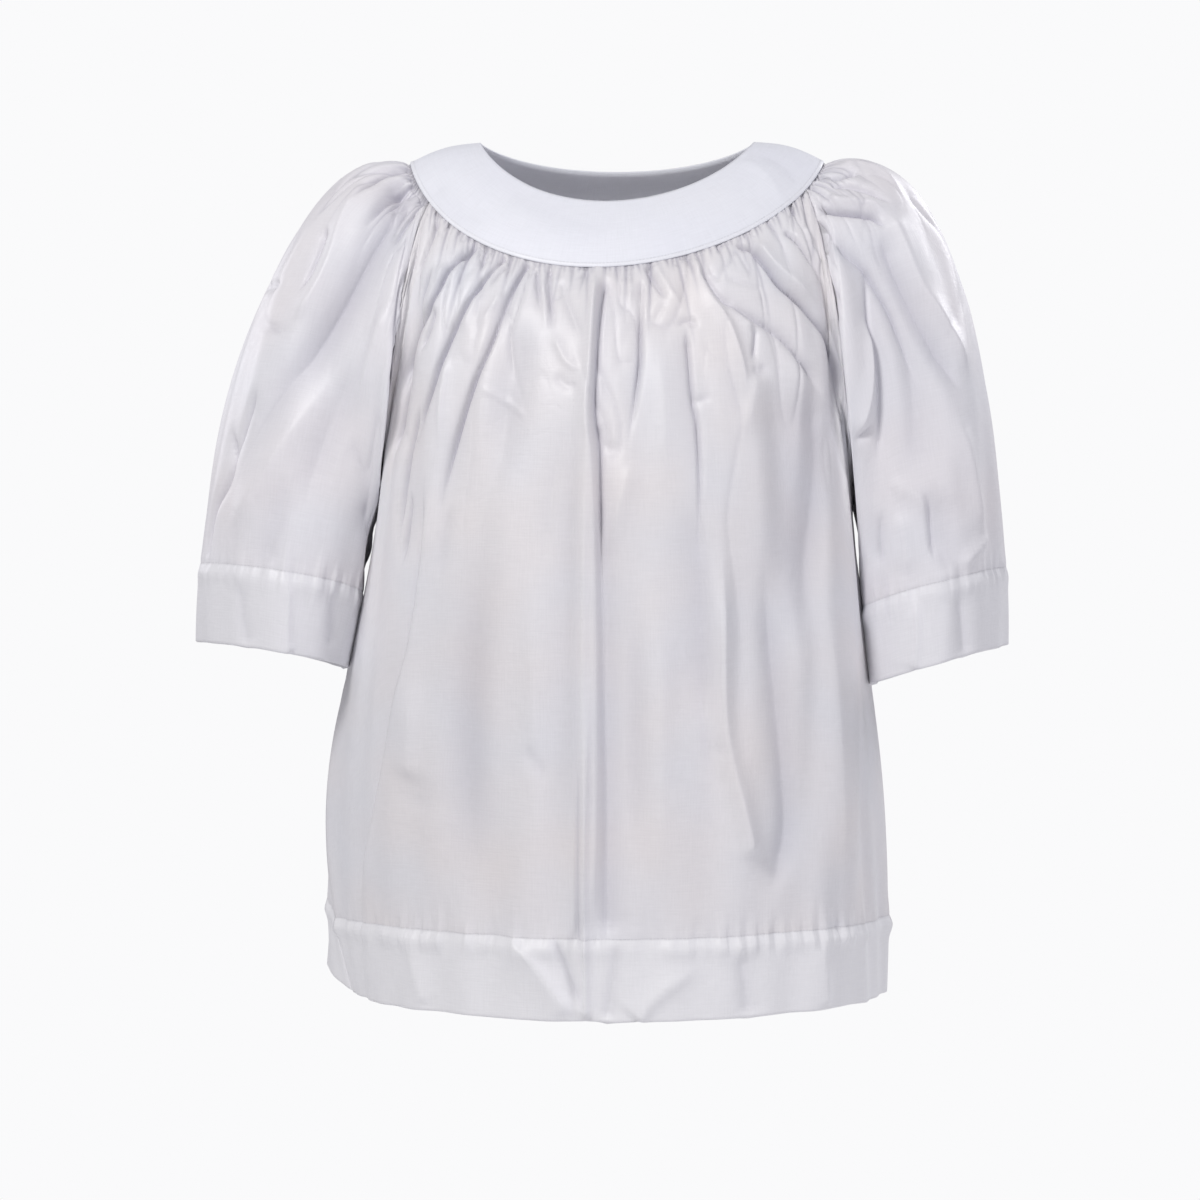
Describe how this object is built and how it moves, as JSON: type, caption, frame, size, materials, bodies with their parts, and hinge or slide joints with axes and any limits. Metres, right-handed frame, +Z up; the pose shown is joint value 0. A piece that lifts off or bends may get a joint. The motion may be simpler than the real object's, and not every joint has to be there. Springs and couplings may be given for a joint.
{
  "type": "surplice",
  "caption": "Short white choir surplice, worn and hollow: a round yoke with gathered front, back and wide elbow-length raglan sleeves, all with deep hems, open at neck, hem and cuffs.",
  "frame": {"origin": "midway between the shoulders, level with the yoke's seam there and above the middle of the side seams", "axes": "+Z up, from hem to neck; front of the garment towards -Y; +X to the viewer's right when seen from the front, which is the wearer's left"},
  "size_m": [0.651, 0.355, 0.682],
  "materials": {
    "yoke_front_poplin": "smooth white poly-cotton poplin with a slight sheen",
    "yoke_back_poplin": "smooth white poly-cotton poplin with a slight sheen",
    "body_front_poplin": "smooth white poly-cotton poplin with a slight sheen",
    "body_back_poplin": "smooth white poly-cotton poplin with a slight sheen",
    "sleeve_left_poplin": "smooth white poly-cotton poplin with a slight sheen",
    "sleeve_right_poplin": "smooth white poly-cotton poplin with a slight sheen"
  },
  "bodies": {
    "root": {"yoke_front": "yoke_front_poplin", "yoke_back": "yoke_back_poplin", "body_front": "body_front_poplin", "body_back": "body_back_poplin", "sleeve_left": "sleeve_left_poplin", "sleeve_right": "sleeve_right_poplin"}
  },
  "joints": []
}
